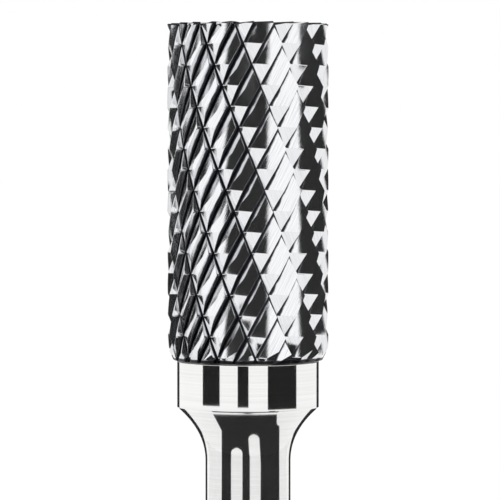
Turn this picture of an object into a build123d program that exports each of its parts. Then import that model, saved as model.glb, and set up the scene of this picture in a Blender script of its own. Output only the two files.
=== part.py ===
from build123d import *
from math import atan, cos, pi, radians, sin, tan
import os

os.makedirs("parts", exist_ok=True)

# Cylindrical carbide burr: a double-cut head with an end cut, silver-brazed to a turned steel shank.
# Millimetres and degrees. The origin is the centre of the shank's flat end, and +Z runs up the axis
# to the tip. The cutting faces look anticlockwise from above the tip, which is right-hand cutting.

# Overall sizes
overall_length = 70.0
shank_diameter = 6.35
shank_end_chamfer = 0.3
neck_length = 4.0
neck_turn = 0.55  # share of the neck's length at which its two ends would meet if run on straight
collar_length = 3.4
collar_step = 0.12  # the collar stays this far inside the roots of the teeth
braze_thickness = 0.12

# Carbide head
head_diameter = 12.0
head_length = 25.0
back_bevel_width = 0.45  # bevel round the head's back edge, across the radius
back_bevel_height = 0.9  # and along the axis

# Flutes: right-hand saw teeth, each with a steep cutting face and a gentle back
flute_count = 24
flute_helix = 29.8
flute_depth = 0.6
face_lean = 9.0  # a steep face leans back from the radius by this

# Chip breakers: left-hand grooves of the same form, which split every tooth into short edges
breaker_count = 12
breaker_helix = 24.3
breaker_depth = 0.64
breaker_width = 1.57  # round the head's surface

# End cut: a notch in front of each tooth, ground by a wheel that runs out towards the centre
end_notch_depth = 0.35  # at the rim
end_notch_lengths = (4.4, 1.6, 2.9, 1.6)  # in from the rim, in turn round the end

# A flute and a breaker cross here, which sets how the pattern is turned
crossing_angle = -77.8  # round from +X
crossing_depth = 12.38  # below the tip

# Worked out from the sizes above
head_radius = head_diameter / 2
root_radius = head_radius - flute_depth
stock_radius = head_radius + flute_depth  # the bars that the head is cut from
shank_radius = shank_diameter / 2
collar_radius = root_radius - collar_step
head_base = overall_length - head_length
collar_top = head_base - braze_thickness
collar_base = collar_top - collar_length
neck_base = collar_base - neck_length
neck_corner = neck_base + neck_length * neck_turn
flute_pitch = pi * head_diameter / flute_count
flute_lead = pi * head_diameter / tan(radians(flute_helix))
breaker_lead = pi * head_diameter / tan(radians(breaker_helix))
crossing_height = head_length - crossing_depth
flute_start = crossing_angle - 360 * crossing_height / flute_lead
breaker_start = crossing_angle + 360 * crossing_height / breaker_lead
tip_start = flute_start + 360 * head_length / flute_lead


def groove_outline(depth, width):
    """Corners of a groove across the axis. Its root lies on +X, with the steep face there, and its
    back climbs anticlockwise to the head's surface. Both sides are carried on through the stock."""
    root = Vector(head_radius - depth, 0)
    face = Vector(depth, -depth * tan(radians(face_lean)))
    turn = (width + face.Y) / head_radius
    back = Vector(head_radius * cos(turn), head_radius * sin(turn)) - root
    reach = 3  # times the groove's own depth
    return [(corner.X, corner.Y) for corner in (root, root + back * reach, root + face * reach)]


def twisted_bar(count, start, depth, width, lead, left_handed):
    """Head stock with grooves that wind round it at the given lead."""
    axis = Edge.make_line((0, 0, head_base), (0, 0, overall_length))
    twist = Edge.make_helix(lead, head_length, head_radius, (0, 0, head_base), lefthand=left_handed)
    with BuildPart() as bar:
        with BuildSketch(Plane.XY.offset(head_base)):
            Circle(stock_radius)
            with PolarLocations(0, count, start_angle=start):
                Polygon(*groove_outline(depth, width), align=None, mode=Mode.SUBTRACT)
        sweep(path=axis, binormal=twist)
    return bar.part


def end_notch(length):
    """Wheel cut into the end face along +X, deepest at the rim and gone after the given length."""
    slope = atan(end_notch_depth / length)
    rim = Plane((head_radius, 0, overall_length - end_notch_depth), (0, 1, 0), (cos(slope), 0, -sin(slope)))
    reach = 2  # times the notch's own depth
    with BuildPart() as notch:
        with BuildSketch(rim):
            Polygon((0, 0), (flute_pitch * reach, end_notch_depth * reach), (0, end_notch_depth * reach), align=None)
        extrude(amount=2 * length, both=True)
    return notch.part


fluted_bar = twisted_bar(flute_count, flute_start, flute_depth, flute_pitch, flute_lead, False)
breaker_bar = twisted_bar(breaker_count, breaker_start, breaker_depth, breaker_width, breaker_lead, True)
end_notches = [end_notch(length) for length in end_notch_lengths]

# Sintered carbide head. The end notches and the back bevel are made in plain stock, and the teeth are
# what the fluted bar and the breaker bar have in common inside it.
with BuildPart() as carbide_head:
    bevel_run = back_bevel_height * (stock_radius - head_radius) / back_bevel_width
    with BuildSketch(Plane.XZ):
        Polygon(
            (0, head_base),
            (head_radius - back_bevel_width, head_base),
            (stock_radius, head_base + back_bevel_height + bevel_run),
            (stock_radius, overall_length),
            (0, overall_length),
            align=None,
        )
    revolve(axis=Axis.Z)
    for tooth in range(flute_count):
        with Locations(Location((0, 0, 0), (0, 0, tip_start + tooth * 360 / flute_count))):
            add(end_notches[tooth % len(end_notches)], mode=Mode.SUBTRACT)
    add(fluted_bar, mode=Mode.INTERSECT)
    add(breaker_bar, mode=Mode.INTERSECT)
carbide_head.part.label = "carbide_head"
export_step(carbide_head.part, "parts/carbide_head.step")

# Silver braze that joins the head's flat back to the shank's flat end
with BuildPart() as braze_seam:
    with BuildSketch(Plane.XY.offset(collar_top)):
        Circle(collar_radius)
    extrude(amount=braze_thickness)
braze_seam.part.label = "braze_seam"
export_step(braze_seam.part, "parts/braze_seam.step")

# Steel shank, turned in one piece with the collar and the hollow neck between them
with BuildPart() as steel_shank:
    with BuildSketch(Plane.XZ):
        with BuildLine():
            neck_start = (shank_radius, neck_base)
            neck_end = (collar_radius, collar_base)
            Bezier(neck_start, (shank_radius, neck_corner), neck_end)
            Polyline(neck_end, (collar_radius, collar_top), (0, collar_top), (0, 0), (shank_radius, 0), neck_start)
        make_face()
    revolve(axis=Axis.Z)
    chamfer(steel_shank.edges().filter_by(GeomType.CIRCLE).sort_by(Axis.Z)[0], shank_end_chamfer)
steel_shank.part.label = "steel_shank"
export_step(steel_shank.part, "parts/steel_shank.step")
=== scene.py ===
import math

import bmesh
import bpy
import numpy as np
from mathutils import Matrix, Vector


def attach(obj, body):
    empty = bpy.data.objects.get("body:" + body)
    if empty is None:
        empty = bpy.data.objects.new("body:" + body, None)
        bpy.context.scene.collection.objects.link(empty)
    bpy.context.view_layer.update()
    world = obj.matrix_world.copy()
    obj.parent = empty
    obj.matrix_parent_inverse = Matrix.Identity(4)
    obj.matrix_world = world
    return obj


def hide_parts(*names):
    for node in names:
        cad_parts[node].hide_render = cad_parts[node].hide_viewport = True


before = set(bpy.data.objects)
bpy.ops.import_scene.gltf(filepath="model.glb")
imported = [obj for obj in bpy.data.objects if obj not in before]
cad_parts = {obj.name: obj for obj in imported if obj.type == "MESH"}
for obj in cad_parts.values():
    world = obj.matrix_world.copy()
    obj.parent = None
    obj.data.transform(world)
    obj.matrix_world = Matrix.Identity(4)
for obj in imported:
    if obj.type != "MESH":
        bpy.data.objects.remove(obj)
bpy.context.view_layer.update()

# ---------------------------------------------------------------- steel shank
# The shank is one bar of tool steel. The collar under the head, the concave neck and the straight part that
# a collet grips are turned in one piece, and then ground bright and true between centres.

shank_radius = 3.175
shank_edge = 0.3  # chamfer at the flat end
neck_base = 37.48
neck_corner = 39.68
collar_base = 41.48
collar_top = 44.88
collar_radius = 5.28
chamfer_round = 0.06  # how round the wheel leaves the chamfer's corners,
collar_round = 0.02  # the collar's lower edge
collar_top_round = 0.04  # and its upper edge
lathe_steps = 288


def mesh_object(name, points, faces):
    """An object from points in millimetres."""
    mesh = bpy.data.meshes.new(name)
    mesh.from_pydata([tuple(0.001 * np.array(p)) for p in points], [], faces)
    mesh.validate()
    piece = bpy.data.objects.new(name, mesh)
    bpy.context.scene.collection.objects.link(piece)
    return piece


def turned(name, profile, steps=lathe_steps):
    """A body turned round Z. The profile runs from the axis at the bottom to the axis at the top."""
    rings = [(r, z) for r, z in profile if r > 0]
    points = [(0, 0, profile[0][1]), (0, 0, profile[-1][1])]
    for r, z in rings:
        for step in range(steps):
            turn = 2 * math.pi * step / steps
            points.append((r * math.cos(turn), r * math.sin(turn), z))
    faces = []
    for step in range(steps):
        ahead = (step + 1) % steps
        faces.append((0, 2 + ahead, 2 + step))
        last = 2 + (len(rings) - 1) * steps
        faces.append((1, last + step, last + ahead))
        for ring in range(len(rings) - 1):
            low, high = 2 + ring * steps, 2 + (ring + 1) * steps
            faces.append((low + step, low + ahead, high + ahead, high + step))
    return mesh_object(name, points, faces)


def smooth_below(piece, degrees):
    """Smooth shading, with the edges that turn by more than this kept sharp."""
    for face in piece.data.polygons:
        face.use_smooth = True
    piece.data.set_sharp_from_angle(angle=math.radians(degrees))


def rounded(before, corner, after, radius, steps=4):
    """Points of an arc that takes the place of a profile's corner."""
    corner = np.array(corner, float)
    towards = [np.array(p, float) - corner for p in (before, after)]
    towards = [t / np.linalg.norm(t) for t in towards]
    half = math.acos(float(np.dot(*towards))) / 2
    middle = (towards[0] + towards[1]) / np.linalg.norm(towards[0] + towards[1])
    centre = corner + middle * radius / math.sin(half)
    ends = [corner + t * radius / math.tan(half) - centre for t in towards]
    arc = []
    for step in range(steps + 1):
        share = step / steps
        spoke = ends[0] * (1 - share) + ends[1] * share
        arc.append(tuple(centre + spoke * radius / np.linalg.norm(spoke)))
    return arc


# The neck is a curve that leaves the shank straight and bends out to the collar.
neck_steps = 32
start, corner, end = (shank_radius, neck_base), (shank_radius, neck_corner), (collar_radius, collar_base)
neck = []
for step in range(neck_steps + 1):
    t = step / neck_steps
    at_start, at_corner, at_end = (1 - t) ** 2, 2 * t * (1 - t), t * t
    neck.append(tuple(at_start * a + at_corner * b + at_end * c for a, b, c in zip(start, corner, end)))

# Rings between the corners, and close to the collar's two edges so that it shades as a plain cylinder.
end_rings = (1.4, 2.6)
shank_rings = (1.5, 6, 12, 18, 24, 30, 34)
collar_rings = (collar_base + 0.06, 43.2, collar_top - 0.1)
chamfer_in, chamfer_out = (shank_radius - shank_edge, 0), (shank_radius, shank_edge)
shank_profile = [(0, 0)] + [(r, 0) for r in end_rings]
shank_profile += rounded((0, 0), chamfer_in, chamfer_out, chamfer_round)
shank_profile += rounded(chamfer_in, chamfer_out, (shank_radius, neck_base), chamfer_round)
shank_profile += [(shank_radius, z) for z in shank_rings]
shank_profile += neck[:-1]
shank_profile += rounded(neck[-2], neck[-1], (collar_radius, collar_top), collar_round)
shank_profile += [(collar_radius, z) for z in collar_rings]
collar_corner = (collar_radius, collar_top)
shank_profile += rounded((collar_radius, collar_base), collar_corner, (0, collar_top), collar_top_round)
shank_profile += [(3.0, collar_top), (0, collar_top)]
shank = turned("shank_turned", shank_profile)
smooth_below(shank, 35)


def linear(colour):
    """An sRGB hex colour as linear RGBA."""
    parts = [int(colour[start : start + 2], 16) / 255 for start in (1, 3, 5)]
    return [part / 12.92 if part <= 0.04045 else ((part + 0.055) / 1.055) ** 2.4 for part in parts] + [1.0]


def new_material(name):
    """A material with its shader, and the shader itself."""
    material = bpy.data.materials.new(name)
    material.use_nodes = True
    return material, material.node_tree.nodes["Principled BSDF"]


def node(material, kind, settings=None, links=None):
    """Adds a node, sets its fields and unlinked sockets, and links its sockets to other nodes' outputs. A
    socket goes by its name, or by its number where several share one. A ramp's stops are places and hex
    colours."""
    added = material.node_tree.nodes.new(kind)
    for key, value in (settings or {}).items():
        if key == "stops":
            band = added.color_ramp
            while len(band.elements) < len(value):
                band.elements.new(1.0)
            for stop, (place, colour) in zip(band.elements, value):
                stop.position = place
                stop.color = linear(colour)
        elif isinstance(key, str) and hasattr(added, key):
            setattr(added, key, value)
        else:
            added.inputs[key].default_value = value
    for key, output in (links or {}).items():
        material.node_tree.links.new(output, added.inputs[key])
    return added


# Tool steel, turned and then ground between centres. The wheel leaves fine rings round the axis, about
# 0.02 mm apart. They are drawn 0.15 mm apart, so that they still show as a faint sheen along the bar, and
# the polish varies a little over patches about 4 mm wide.
rings_per_metre = 6700
polish_patches_per_metre = 260
ground_steel, shader = new_material("tool_steel_ground")
place = node(ground_steel, "ShaderNodeTexCoord")
apart = node(
    ground_steel,
    "ShaderNodeMapping",
    {"Scale": (60, 60, rings_per_metre)},
    {"Vector": place.outputs["Object"]},
)
rings = node(
    ground_steel,
    "ShaderNodeTexNoise",
    {"Scale": 1.0, "Detail": 3.0, "Roughness": 0.6},
    {"Vector": apart.outputs["Vector"]},
)
patches = node(
    ground_steel,
    "ShaderNodeTexNoise",
    {"Scale": polish_patches_per_metre, "Detail": 2.0},
    {"Vector": place.outputs["Object"]},
)
tone = node(
    ground_steel,
    "ShaderNodeValToRGB",
    {"stops": [(0.3, "#EBEBEA"), (0.7, "#F7F7F6")]},
    {"Fac": rings.outputs["Fac"]},
)
ground_steel.node_tree.links.new(tone.outputs["Color"], shader.inputs["Base Color"])
polish = node(
    ground_steel,
    "ShaderNodeMapRange",
    {"From Min": 0.3, "From Max": 0.7, "To Min": 0.05, "To Max": 0.09},
    {"Value": patches.outputs["Fac"]},
)
ground_steel.node_tree.links.new(polish.outputs["Result"], shader.inputs["Roughness"])
relief = node(
    ground_steel,
    "ShaderNodeBump",
    {"Strength": 0.05, "Distance": 0.00002},
    {"Height": rings.outputs["Fac"]},
)
ground_steel.node_tree.links.new(relief.outputs["Normal"], shader.inputs["Normal"])
shader.inputs["Metallic"].default_value = 1.0
shank.data.materials.append(ground_steel)
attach(shank, "root")
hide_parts("steel_shank")

# ---------------------------------------------------------------- braze seam
# A thin film of silver braze joins the carbide to the steel. It is drawn into the gap when both are hot, and
# what stands out is ground off flush. It stays duller than the steel, as a thin grey line under the head.

braze_thickness = 0.12
braze_rim = [(-0.018, 0), (-0.002, 0.015), (0, 0.06), (-0.002, 0.105), (-0.018, braze_thickness)]
braze_profile = [(0, 0), (3.0, 0)]
braze_profile += [(collar_radius + out, up) for out, up in braze_rim]
braze_profile += [(3.0, braze_thickness), (0, braze_thickness)]
braze_profile = [(out, collar_top + up) for out, up in braze_profile]
braze = turned("silver_braze_seam", braze_profile)
smooth_below(braze, 50)

# Silver braze, ground flush. It is softer than what it joins, so the wheel smears it, and it reflects dimly,
# with a mottle about 1 mm wide where the metal flowed.
flow_patches_per_metre = 900
silver_braze, shader = new_material("silver_braze_ground")
place = node(silver_braze, "ShaderNodeTexCoord")
flow = node(
    silver_braze,
    "ShaderNodeTexNoise",
    {"Scale": flow_patches_per_metre, "Detail": 4.0, "Roughness": 0.6},
    {"Vector": place.outputs["Object"]},
)
tone = node(
    silver_braze,
    "ShaderNodeValToRGB",
    {"stops": [(0.35, "#565654"), (0.65, "#7A7A77")]},
    {"Fac": flow.outputs["Fac"]},
)
silver_braze.node_tree.links.new(tone.outputs["Color"], shader.inputs["Base Color"])
relief = node(
    silver_braze,
    "ShaderNodeBump",
    {"Strength": 0.3, "Distance": 0.00002},
    {"Height": flow.outputs["Fac"]},
)
silver_braze.node_tree.links.new(relief.outputs["Normal"], shader.inputs["Normal"])
shader.inputs["Metallic"].default_value = 1.0
shader.inputs["Roughness"].default_value = 0.28
braze.data.materials.append(silver_braze)
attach(braze, "root")
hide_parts("braze_seam")

# ---------------------------------------------------------------- carbide head
# The head is sintered tungsten carbide. A diamond wheel grinds 24 right-hand flutes, then 12 left-hand
# breakers across them, the sawtooth notches in the end, and the bevel round the back edge.

head_base = 45.0
head_length = 25.0
head_radius = 6.0
flute_count = 24
flute_depth = 0.6
breaker_count = 12
breaker_depth = 0.64
breaker_width = 1.57
face_lean = math.radians(9.0)
flute_twist = math.degrees(math.tan(math.radians(29.8)) / head_radius)  # degrees round for each mm up
breaker_twist = math.degrees(math.tan(math.radians(24.3)) / head_radius)
flute_turn = 360 / flute_count
breaker_turn = 360 / breaker_count
crossing_angle = -77.8
crossing_up = head_length - 12.38
flute_start = crossing_angle - flute_twist * crossing_up
breaker_start = crossing_angle + breaker_twist * crossing_up
edge_softness = 0.012  # the cutting edges and corners are rounded over about this many mm


def line_radius(r_from, turn_from, r_to, turn_to, turn):
    """Radius, at the given angles, of the straight line through two points of a section. It is far out where
    the line never meets the ray."""
    least_reach = 0.01
    span = np.radians(turn_to - turn_from)
    along = np.radians(turn - turn_from)
    reach = r_from * np.sin(along) + r_to * np.sin(span - along)
    return r_from * r_to * np.sin(span) / np.maximum(reach, least_reach)


def groove(depth, width, turn):
    """Root radius of a groove whose root is at angle 0, and the angles of its back's crest and of the top of
    the next groove's steep face, whose root is at turn."""
    root = head_radius - depth
    lean = math.degrees(depth * math.tan(face_lean) / head_radius)
    crest = math.degrees(width / head_radius) - lean
    return root, crest, turn - lean


flute_root, flute_crest, flute_face = groove(flute_depth, math.radians(flute_turn) * head_radius, flute_turn)
breaker_root, breaker_crest, breaker_face = groove(breaker_depth, breaker_width, breaker_turn)


def swept_back(root, crest, angle):
    """Radius of a groove's back, which is a spiral from the root to the head's surface and on."""
    return root + (head_radius - root) * angle / crest


def flute_sides(angle):
    """Radius of a flute's back and of its steep face."""
    return [
        swept_back(flute_root, flute_crest, angle),
        line_radius(head_radius, flute_face, flute_root, flute_turn, angle),
    ]


def breaker_sides(angle):
    """Radius of a breaker's back and of its steep face."""
    return [
        swept_back(breaker_root, breaker_crest, angle),
        line_radius(head_radius, breaker_face, breaker_root, breaker_turn, angle),
    ]


def crossing(side, flute_radius, low, high):
    """Where a breaker's side meets the flute, found by halving, for each radius."""
    halvings = 40
    low, high = np.full_like(flute_radius, low), np.full_like(flute_radius, high)
    rising = breaker_sides(low)[side] < breaker_sides(high)[side]
    for _ in range(halvings):
        middle = (low + high) / 2
        under = breaker_sides(middle)[side] < flute_radius
        go_up = under == rising
        low, high = np.where(go_up, middle, low), np.where(go_up, high, middle)
    return (low + high) / 2


# Columns of the mesh across one flute, as shares of its turn: up the back, and close together at the cutting
# edge and down the steep face.
crest_share = flute_crest / flute_turn
across = [0, 0.1, 0.2, 0.32, 0.45, 0.58, 0.71, 0.82]
across += [crest_share + past for past in (-0.03, -0.012, -0.004, 0, 0.003, 0.008, 0.02, 0.04)]
across = np.array(across)

# Rows of the mesh across one breaker, as shares of its turn, for each column: up the back, over the land that
# it leaves, and down the next steep face. They are close together at the two edges.
flute_radius = np.minimum(*flute_sides(across * flute_turn))
back_meets = crossing(0, flute_radius, 0.0, breaker_crest + 0.5) / breaker_turn
face_meets = crossing(1, flute_radius, breaker_face - 0.2, breaker_turn) / breaker_turn
near = np.minimum(0.02, back_meets / 3)
rim = np.minimum(0.012, (1 - face_meets) / 3)
land = face_meets - back_meets
rows = np.array(
    [
        0 * back_meets,
        back_meets * 0.5,
        back_meets - near,
        back_meets - near * 0.4,
        back_meets,
        back_meets + 0.006,
        back_meets + 0.018,
        back_meets + land * 0.25,
        back_meets + land * 0.5,
        back_meets + land * 0.75,
        face_meets - 0.02,
        face_meets - 0.007,
        face_meets - 0.002,
        face_meets,
        face_meets + rim * 0.5,
        face_meets + rim * 1.2,
    ]
)
row_count, column_count = rows.shape


def tooth_point(flute, column, breaker, row):
    """A point of the toothed surface, in mm from the head's base."""
    over_flute, over_breaker = across[column], rows[row][column]
    sides = [*flute_sides(over_flute * flute_turn), *breaker_sides(over_breaker * breaker_turn)]
    least = min(sides)
    radius = least - edge_softness * math.log(sum(math.exp((least - s) / edge_softness) for s in sides))
    flute_at = (flute + over_flute) * flute_turn
    apart = breaker_start + (breaker + over_breaker) * breaker_turn - flute_start - flute_at
    up = apart / (flute_twist + breaker_twist)
    turn = math.radians(flute_start + flute_at + flute_twist * up)
    return radius * math.cos(turn), radius * math.sin(turn), up


def toothed_body():
    """The toothed surface as a tube that runs past both ends of the head, capped."""
    spare = 1.2
    spare_turn = 12  # degrees, a little more than the two kinds of groove part over the spare height
    cap = spare * 0.6
    index, points, faces = {}, [], []

    def corner(column, row):
        if column == flute_count * column_count:
            column, row = 0, row - breaker_count * row_count
        if (column, row) not in index:
            index[column, row] = len(points)
            flute, breaker = column // column_count, row // row_count
            points.append(tooth_point(flute, column % column_count, breaker, row % row_count))
        return index[column, row]

    length_turn = (head_length + spare) * (flute_twist + breaker_twist)
    for column in range(flute_count * column_count):
        shift = flute_start + column / column_count * flute_turn - breaker_start
        first = int((shift - spare_turn) / breaker_turn - 1) * row_count
        last = int((shift + length_turn) / breaker_turn + 2) * row_count
        for row in range(first, last):
            places = (column, row), (column + 1, row), (column + 1, row + 1), (column, row + 1)
            faces.append([corner(*place) for place in places])
    piece = mesh_object("teeth", points, faces)
    work = bmesh.new()
    work.from_mesh(piece.data)
    for up, side in ((-cap, -1), (head_length + cap, 1)):
        bmesh.ops.bisect_plane(
            work,
            geom=work.verts[:] + work.edges[:] + work.faces[:],
            dist=1e-9,
            plane_co=(0, 0, 0.001 * up),
            plane_no=(0, 0, side),
            clear_outer=True,
        )
    bmesh.ops.holes_fill(work, edges=[e for e in work.edges if e.is_boundary], sides=0)
    bmesh.ops.recalc_face_normals(work, faces=work.faces[:])
    work.to_mesh(piece.data)
    work.free()
    return piece


def combine(piece, tool, how):
    """Cuts tool out of piece, or keeps only what the two share, and removes the tool."""
    boolean = piece.modifiers.new("cut", "BOOLEAN")
    boolean.operation = how
    boolean.object = tool
    boolean.solver = "MANIFOLD"
    bpy.context.view_layer.update()
    seen = bpy.context.evaluated_depsgraph_get()
    piece.data = bpy.data.meshes.new_from_object(piece.evaluated_get(seen))
    piece.modifiers.clear()
    bpy.data.objects.remove(tool)


bevel_width = 0.45
bevel_height = 0.9
notch_depth = 0.35
notch_lengths = (4.4, 1.6, 2.9, 1.6)
stock_radius = 6.7  # the blank before the teeth are ground
stock_steps = 360
bevel_rise = bevel_height / bevel_width
stock_profile = [(0, 0), (3, 0), (head_radius - bevel_width, 0)]
stock_profile += [(stock_radius, (stock_radius - head_radius + bevel_width) * bevel_rise)]
stock_profile += [(stock_radius, head_length), (3, head_length), (0, head_length)]
head = turned("carbide_head_ground", stock_profile, stock_steps)
notch_start = flute_start + flute_twist * head_length
pitch = math.radians(flute_turn) * head_radius
wedge_growth = 4  # the wheel's wedge is this many pitches wide and notch depths high
past_rim = 1.5
for tooth in range(flute_count):
    length = notch_lengths[tooth % len(notch_lengths)]
    slope = notch_depth / length
    wedge = []
    for out in (head_radius - 2 * length, head_radius + past_rim):
        floor_up = head_length - notch_depth - (out - head_radius) * slope
        top_up = floor_up + wedge_growth * notch_depth
        wedge += [(out, 0, floor_up), (out, wedge_growth * pitch, top_up), (out, 0, top_up)]
    turn = math.radians(notch_start + tooth * flute_turn)
    cosine, sine = math.cos(turn), math.sin(turn)
    wedge = [(x * cosine - y * sine, x * sine + y * cosine, z) for x, y, z in wedge]
    sides = [(0, 2, 1), (3, 4, 5), (0, 1, 4, 3), (1, 2, 5, 4), (2, 0, 3, 5)]
    combine(head, mesh_object("notch", wedge, sides), "DIFFERENCE")
combine(head, toothed_body(), "INTERSECT")
head.data.transform(Matrix.Translation((0, 0, 0.001 * head_base)))


def ground_by(x, y, up):
    """The pass of the wheel that ground a point of the head."""
    under_teeth = 0.06
    past_crest = 1.2
    radius, turn = math.hypot(x, y), math.degrees(math.atan2(y, x))
    flutes = (turn - flute_start - flute_twist * up) / flute_turn
    breakers = (turn - breaker_start + breaker_twist * up) / breaker_turn
    flute_here = min(flute_sides(flutes % 1 * flute_turn))
    breaker_here = min(breaker_sides(breakers % 1 * breaker_turn))
    if radius < min(flute_here, breaker_here) - under_teeth:
        return "end" if up > head_length / 2 else "bevel"
    if flute_here < breaker_here:
        return "flute_back" if flutes % 1 * flute_turn < flute_crest else "flute_face"
    return "breaker_back" if breakers % 1 * breaker_turn < past_crest * breaker_crest else "breaker_face"


# Each corner of the mesh keeps where it lies along and across the wheel's marks, how high it stands in its
# groove, and how far it is from the nearer end, all in mm. The last two place the painted shade in the roots
# and along the rims. The third number of the marks only keeps the patterns of the passes apart.
breaker_shade_thinning = 1.9  # the painted shade in a breaker is this many times thinner than in a flute
back_edge_shade_widening = 0.6  # and the one along the back edge is thicker than the one along the end's rim
no_painted_shade = 1
flute_slant, breaker_slant = 1.15, 1.1  # length along a groove for each mm up
breaker_pitch = 2 * pitch
mesh = head.data
marks = np.zeros((len(mesh.loops), 3), np.float32)
heights, below = np.zeros(len(mesh.loops), np.float32), np.zeros(len(mesh.loops), np.float32)
for face in mesh.polygons:
    kind = ground_by(1000 * face.center.x, 1000 * face.center.y, 1000 * face.center.z - head_base)
    middle = math.degrees(math.atan2(face.center.y, face.center.x))
    upper = 1000 * face.center.z - head_base > head_length / 2
    for corner in face.loop_indices:
        x, y, z = 1000 * mesh.vertices[mesh.loops[corner].vertex_index].co
        up, radius = z - head_base, math.hypot(x, y)
        turn = middle + (math.degrees(math.atan2(y, x)) - middle + 180) % 360 - 180
        flutes = (turn - flute_start - flute_twist * up) / flute_turn
        breakers = (turn - breaker_start + breaker_twist * up) / breaker_turn
        if kind.startswith("flute"):
            marks[corner] = up * flute_slant, flutes * pitch + radius, 3
            heights[corner] = radius - flute_root
        elif kind.startswith("breaker"):
            marks[corner] = up * breaker_slant, breakers * breaker_pitch + radius, 40
            heights[corner] = (radius - breaker_root) * breaker_shade_thinning
        elif kind == "bevel":
            marks[corner] = math.radians(turn) * head_radius, 1.1 * up, 80
            heights[corner] = no_painted_shade
        else:
            marks[corner] = radius * 0.2, math.radians(turn) * head_radius + 0.2 * up, 120
            heights[corner] = no_painted_shade
        if kind == "end":
            below[corner] = head_length
        elif upper:
            below[corner] = head_length - up
        else:
            below[corner] = up * back_edge_shade_widening
mesh.attributes.new("grinding_marks", "FLOAT_VECTOR", "CORNER")
mesh.attributes["grinding_marks"].data.foreach_set("vector", marks.ravel())
mesh.attributes.new("height_in_groove", "FLOAT", "CORNER")
mesh.attributes["height_in_groove"].data.foreach_set("value", heights)
mesh.attributes.new("depth_below_end", "FLOAT", "CORNER")
mesh.attributes["depth_below_end"].data.foreach_set("value", below)

smooth_below(head, 40)
even = head.modifiers.new("flat_facets", "WEIGHTED_NORMAL")
even.mode = "FACE_AREA"
even.weight = 50
even.keep_sharp = True
bpy.context.view_layer.update()
seen = bpy.context.evaluated_depsgraph_get()
head.data = bpy.data.meshes.new_from_object(head.evaluated_get(seen))
head.modifiers.clear()

# Sintered tungsten carbide, ground with a diamond wheel. It is bright and cold in tone, and the wheel's marks
# run along each groove. The roots of the grooves and bands along the rims are painted dark and made rougher,
# as painted shade, with an edge that wavers over about 0.7 mm. The marks are about 0.005 mm apart, and are
# drawn
# 0.06 mm apart so that they show.
marks_per_mm = 16.0
shade_edge_waves_per_metre = 1500
ground_carbide, shader = new_material("tungsten_carbide_ground")
along = node(ground_carbide, "ShaderNodeAttribute", {"attribute_name": "grinding_marks"})
stretched = node(
    ground_carbide,
    "ShaderNodeMapping",
    {"Scale": (0.35, marks_per_mm, 1.0)},
    {"Vector": along.outputs["Vector"]},
)
scratches = node(
    ground_carbide,
    "ShaderNodeTexNoise",
    {"Scale": 1.0, "Detail": 3.0, "Roughness": 0.65},
    {"Vector": stretched.outputs["Vector"]},
)
bright = node(
    ground_carbide,
    "ShaderNodeValToRGB",
    {"stops": [(0.32, "#D3D4D7"), (0.5, "#EAEBED"), (0.7, "#F2F2F4")]},
    {"Fac": scratches.outputs["Fac"]},
)
rise = node(ground_carbide, "ShaderNodeAttribute", {"attribute_name": "height_in_groove"})
place = node(ground_carbide, "ShaderNodeTexCoord")
uneven = node(
    ground_carbide,
    "ShaderNodeTexNoise",
    {"Scale": shade_edge_waves_per_metre, "Detail": 2.0},
    {"Vector": place.outputs["Object"]},
)
edge = node(
    ground_carbide,
    "ShaderNodeMath",
    {"operation": "MULTIPLY_ADD", 1: 0.08},
    {0: uneven.outputs["Fac"], 2: rise.outputs["Fac"]},
)
# Painted shade in the roots of the grooves, where a corner stands low in its groove.
painted_root_shade = node(
    ground_carbide,
    "ShaderNodeMapRange",
    {"From Min": 0.14, "From Max": 0.18, "To Min": 1.0, "To Max": 0.0},
    {"Value": edge.outputs[0]},
)
# Painted shade in bands along the end's rim and along the back edge.
down = node(ground_carbide, "ShaderNodeAttribute", {"attribute_name": "depth_below_end"})
rim_shade_edge = node(
    ground_carbide,
    "ShaderNodeMath",
    {"operation": "MULTIPLY_ADD", 1: 0.1},
    {0: uneven.outputs["Fac"], 2: down.outputs["Fac"]},
)
painted_rim_shade = node(
    ground_carbide,
    "ShaderNodeMapRange",
    {"From Min": 0.17, "From Max": 0.21, "To Min": 1.0, "To Max": 0.0},
    {"Value": rim_shade_edge.outputs[0]},
)
# Where either painted shade falls, the colour below turns dark grey (#35363A) and the roughness rises.
dark = node(
    ground_carbide,
    "ShaderNodeMath",
    {"operation": "MAXIMUM"},
    {0: painted_root_shade.outputs["Result"], 1: painted_rim_shade.outputs["Result"]},
)
colour = node(
    ground_carbide,
    "ShaderNodeMix",
    {"data_type": "RGBA", 7: linear("#35363A")},
    {0: dark.outputs[0], 6: bright.outputs["Color"]},
)
ground_carbide.node_tree.links.new(colour.outputs[2], shader.inputs["Base Color"])
dull = node(
    ground_carbide,
    "ShaderNodeMapRange",
    {"From Min": 0.0, "From Max": 1.0, "To Min": 0.08, "To Max": 0.4},
    {"Value": dark.outputs[0]},
)
ground_carbide.node_tree.links.new(dull.outputs["Result"], shader.inputs["Roughness"])
relief = node(
    ground_carbide,
    "ShaderNodeBump",
    {"Strength": 0.1, "Distance": 0.00002},
    {"Height": scratches.outputs["Fac"]},
)
ground_carbide.node_tree.links.new(relief.outputs["Normal"], shader.inputs["Normal"])
shader.inputs["Metallic"].default_value = 1.0
head.data.materials.clear()
head.data.materials.append(ground_carbide)
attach(head, "root")
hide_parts("carbide_head")

# ---------------------------------------------------------------- stand and surroundings
# The burr stands on the flat end of its shank, on a matt white table in an evenly white room. The room
# lights the table a little more than it shows, so that the two meet without a line.


def matt(name, colour):
    """A plain matt paint or card."""
    material, shader = new_material(name)
    shader.inputs["Base Color"].default_value = linear(colour)
    shader.inputs["Roughness"].default_value = 0.9
    shader.inputs["Specular IOR Level"].default_value = 0.0
    return material


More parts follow.
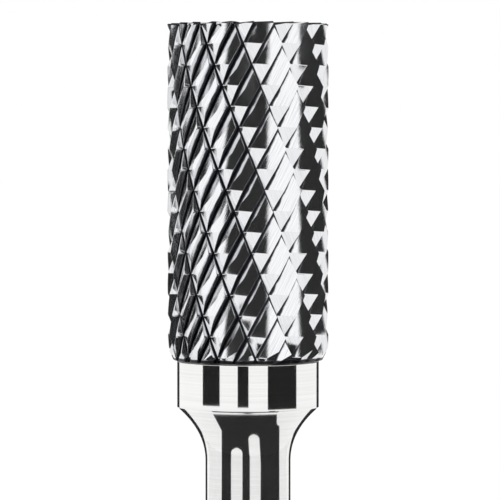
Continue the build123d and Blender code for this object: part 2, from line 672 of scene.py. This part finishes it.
table_reach = 6000
table_corners = [(x * table_reach, y * table_reach, 0) for x, y in ((-1, -1), (1, -1), (1, 1), (-1, 1))]
floor = mesh_object("floor", table_corners, [(0, 1, 2, 3)])
floor.data.materials.append(matt("white_table", "#FBFBFB"))

room = bpy.data.worlds.new("white_room")
bpy.context.scene.world = room
room.use_nodes = True
path = node(room, "ShaderNodeLightPath")
seen_directly = node(
    room,
    "ShaderNodeMath",
    {"operation": "MAXIMUM"},
    {0: path.outputs["Is Camera Ray"], 1: path.outputs["Is Glossy Ray"]},
)
seen = node(
    room,
    "ShaderNodeMath",
    {"operation": "MAXIMUM"},
    {0: seen_directly.outputs[0], 1: path.outputs["Is Transmission Ray"]},
)
strength = node(
    room,
    "ShaderNodeMapRange",
    {"To Min": 1.04, "To Max": 1.0},
    {"Value": seen.outputs[0]},
)
background = room.node_tree.nodes["Background"]
background.inputs["Color"].default_value = (1, 1, 1, 1)
room.node_tree.links.new(strength.outputs["Result"], background.inputs["Strength"])

# ---------------------------------------------------------------- camera
# The camera stands a quarter of a metre in front of the burr, level with its head, and looks down by less
# than two degrees. Its lens is long, so that the head shows with little perspective.

camera_data = bpy.data.cameras.new("camera")
camera = bpy.data.objects.new("camera", camera_data)
bpy.context.scene.collection.objects.link(camera)
camera_data.sensor_width = 36
camera_data.lens = 241.5
camera_data.clip_start = 0.01
aim = Vector((0.00015, 0, 0.05317))
camera.location = (0.00015, -0.25, 0.06045)
camera.rotation_euler = (aim - camera.location).to_track_quat("-Z", "Y").to_euler()
bpy.context.scene.camera = camera

# ---------------------------------------------------------------- black cards and lamps
# Black cards lie and stand round the burr, out of the camera's sight, as a studio puts them round polished
# metal to draw its form: on the table and far off for the teeth, as a small tray round the shank for the
# neck, and close by for the collar. Two large soft lamps brighten the backs of the teeth.

black_card = matt("black_card", "#303030")
white_card = matt("white_card", "#FBFBFB")
foot_up = 0.5  # no standing card comes closer to the table


def sheet(name, rows, material=black_card):
    """A card through rows of points in mm. Only reflections see it, and it takes no light off the table."""
    wide = len(rows[0])
    faces = []
    for row in range(len(rows) - 1):
        for column in range(wide - 1):
            corner = row * wide + column
            faces.append((corner, corner + 1, corner + wide + 1, corner + wide))
    piece = mesh_object(name, [point for row in rows for point in row], faces)
    piece.data.materials.append(material)
    piece.visible_camera = False
    piece.visible_diffuse = False
    piece.visible_shadow = False


def around(out, turn, up):
    """A point in mm at a distance from the axis and a height, some degrees to the right of the front."""
    return out * math.sin(math.radians(turn)), -out * math.cos(math.radians(turn)), up


def table_card(name, left, right, near, far):
    """A card just above the table, between two directions and two distances in mm."""
    lift = 0.4
    turns = np.linspace(left, right, 17)
    sheet(name, [[around(near, turn, lift) for turn in turns], [around(far, turn, lift) for turn in turns]])


def wall_card(name, left, right, low, high):
    """A standing card far off, between two directions and two elevations seen from the head."""
    card_distance = 400
    sight_height = 52
    turns = np.linspace(left, right, 33)
    rows = []
    for rise in (low, high):
        up = max(foot_up, sight_height + card_distance * math.tan(math.radians(rise)))
        rows.append([around(card_distance, turn, up) for turn in turns])
    sheet(name, rows)


def steel_at(up):
    """Radius of the shank, its neck and its collar at a height, and how far it widens for each mm up."""
    if up > collar_base:
        return collar_radius, 0
    first, second = neck_corner - neck_base, neck_base - 2 * neck_corner + collar_base
    along = (math.sqrt(first**2 + second * max(0, up - neck_base)) - first) / second
    widening = (collar_radius - shank_radius) * along / (first + second * along)
    return shank_radius + (collar_radius - shank_radius) * along**2, widening


def seen_in_steel(out, up, floor_up, wall_out):
    """Where the camera sees a round tray reflected, whose floor is this high and whose wall is this far out,
    at a point of the steel that lies so far to the right of the axis and so high."""
    radius, widening = steel_at(up)
    place = Vector((out, -math.sqrt(radius**2 - out**2), up))
    facing = Vector((place.x / radius, place.y / radius, -widening)).normalized()
    sight = (place - 1000 * camera.location).normalized()
    leaves = sight.reflect(facing)
    to_floor = (floor_up - up) / leaves.z
    level, flat = Vector((place.x, place.y)), Vector((leaves.x, leaves.y))
    ahead = level.dot(flat) / flat.length_squared
    inside = wall_out**2 - level.length_squared
    to_wall = math.sqrt(ahead**2 + inside / flat.length_squared) - ahead
    return tuple(place + leaves * min(to_floor, to_wall))


def collar_card(name, left, right, low, high):
    """A card close to the collar. It shows between two distances to the right of the axis and two heights."""
    wall_out = 9
    places = np.linspace(left, right, 21)
    sheet(name, [[seen_in_steel(out, up, 0, wall_out) for out in places] for up in (low, high)])


tray_height = 30
tray_radius = 24


def neck_card(name, high, places, foot=foot_up, material=black_card, spare=0):
    """A card of the tray that shows in the neck up to a height, and whose wall shows below it in the shank.
    At each height, places gives the distances to the right of the axis where it shows."""
    heights = np.linspace(neck_base, high, 121)
    floor_up, wall_out = tray_height - spare, tray_radius + spare
    rows = [[seen_in_steel(out, up, floor_up, wall_out) for out in places(up)] for up in heights]
    lip = 1
    wall = [[(x, y, foot) for x, y, z in rows[0]], [(x, y, z + lip) for x, y, z in rows[0]]]
    sheet(name, wall + rows, material)


def slot(up, half, top):
    """Half the width, at a height, of a slot with a round top."""
    depth = min(max(top - up, 0), half)
    return math.sqrt(half**2 - (half - depth) ** 2)


def left_slot(up, side):
    """Place of the left slot's side, which is -1 for its left one and 1 for its right one."""
    middle, half, top = -0.83, 0.42, 38.65
    return middle + side * slot(up, half, top)


def right_slot(up, side):
    """Place of the right slot's side. This slot leans a little."""
    middle, half, top = 0.54, 0.40, 39.7
    lean = 0.055
    return middle - lean * (up - neck_base) + side * slot(up, half, top)


def whole_neck(up):
    """Places over nearly the whole width of the neck."""
    share = 0.9
    return share * steel_at(up)[0] * np.linspace(-1, 1, 61)


def left_bar(up):
    """Places from the left side, which flares at the top, to the left slot."""
    side, flare_base, flare = -1.94, 39.95, 0.48
    return np.linspace(side - flare * max(0, up - flare_base), left_slot(up, -1), 21)


def middle_bar(up):
    """Places between the two slots."""
    return np.linspace(left_slot(up, 1), right_slot(up, -1), 21)


def right_bar(up):
    """Places from the right slot to the right side, which steps in near the top."""
    step_heights, step_sides = (40.25, 40.5), (2.32, 2.12)
    return np.linspace(right_slot(up, 1), np.interp(up, step_heights, step_sides), 21)


edge_inner, edge_outer = 0.15, 0.004  # how far in from the steel's outline its dark edge starts and ends


def left_edge(up):
    """Places along the left outline of the neck."""
    return np.linspace(edge_outer, edge_inner, 9) - steel_at(up)[0]


def right_edge(up):
    """Places along the right outline of the neck."""
    return steel_at(up)[0] - np.linspace(edge_inner, edge_outer, 9)


# The white sheet just behind the tray keeps the gaps between its black bars white. The two edge cards draw
# the neck's outlines, and start at the tray's floor so that they don't show in the collar's lower corners.
bar_top = 41.24
edge_top = 41.4
neck_card("neck_card_behind", bar_top, whole_neck, material=white_card, spare=0.3)
neck_card("neck_card_left", bar_top, left_bar)
neck_card("neck_card_middle", bar_top, middle_bar)
neck_card("neck_card_right", bar_top, right_bar)
neck_card("neck_card_left_edge", edge_top, left_edge, foot=tray_height)
neck_card("neck_card_right_edge", edge_top, right_edge, foot=tray_height)

# A wall of the tray behind the shank, for its outlines.
back_radius = 24.2
back_turns = np.linspace(158, 202, 15)
back_rows = [[around(back_radius, turn, up) for turn in back_turns] for up in (foot_up, tray_height)]
sheet("shank_card_back", back_rows)

# Three bars on the collar, which end just above its lower edge, and a far card behind for its outlines.
collar_card_top = 45.2
collar_card("collar_card_left", left=-3.32, right=-2.07, low=41.87, high=collar_card_top)
collar_card("collar_card_middle", left=-0.755, right=0.04, low=41.79, high=collar_card_top)
collar_card("collar_card_right", left=1.45, right=3.56, low=41.62, high=collar_card_top)
wall_card("collar_card_back", left=149, right=211, low=-7.2, high=2)

# The cards for the teeth. The backs of the flutes see the far ones. The steep faces of the flutes see those
# on the table, and so do the backs by way of the faces.
wall_card("teeth_card_left", left=-80, right=-17, low=13, high=27)
wall_card("teeth_card_top", left=-40, right=-15, low=27, high=38)
wall_card("teeth_card_right", left=38, right=106, low=9, high=28)
wall_card("teeth_card_edge", left=125, right=150, low=2, high=13)
wall_card("teeth_card_back", left=150, right=200, low=-7.2, high=30)
table_card("table_card_left", left=-63, right=-45, near=48, far=138)
table_card("table_card_front", left=-45, right=30, near=30, far=78)
table_card("table_card_ring", left=5, right=30, near=90, far=106)
table_card("table_card_right", left=34, right=45, near=245, far=400)


def soft_box(name, turn, rise, distance, width, height, radiance):
    """A lamp that faces the head from a direction, as bright to look at as the given radiance."""
    lamp = bpy.data.lights.new(name, "AREA")
    lamp.shape = "RECTANGLE"
    lamp.size, lamp.size_y = width, height
    lamp.energy = radiance * math.pi * width * height
    placed = bpy.data.objects.new(name, lamp)
    bpy.context.scene.collection.objects.link(placed)
    turn, rise = math.radians(turn), math.radians(rise)
    away = Vector((math.sin(turn) * math.cos(rise), -math.cos(turn) * math.cos(rise), math.sin(rise)))
    head_middle = Vector((0, 0, 0.057))
    placed.location = head_middle + away * distance
    placed.rotation_euler = (-away).to_track_quat("-Z", "Y").to_euler()
    placed.visible_camera = False


soft_box("lamp_front_right", turn=12, rise=27, distance=0.6, width=0.62, height=0.28, radiance=0.12)
soft_box("lamp_left", turn=-120, rise=24, distance=0.6, width=0.9, height=0.36, radiance=0.12)

bpy.context.scene.view_settings.view_transform = "Standard"
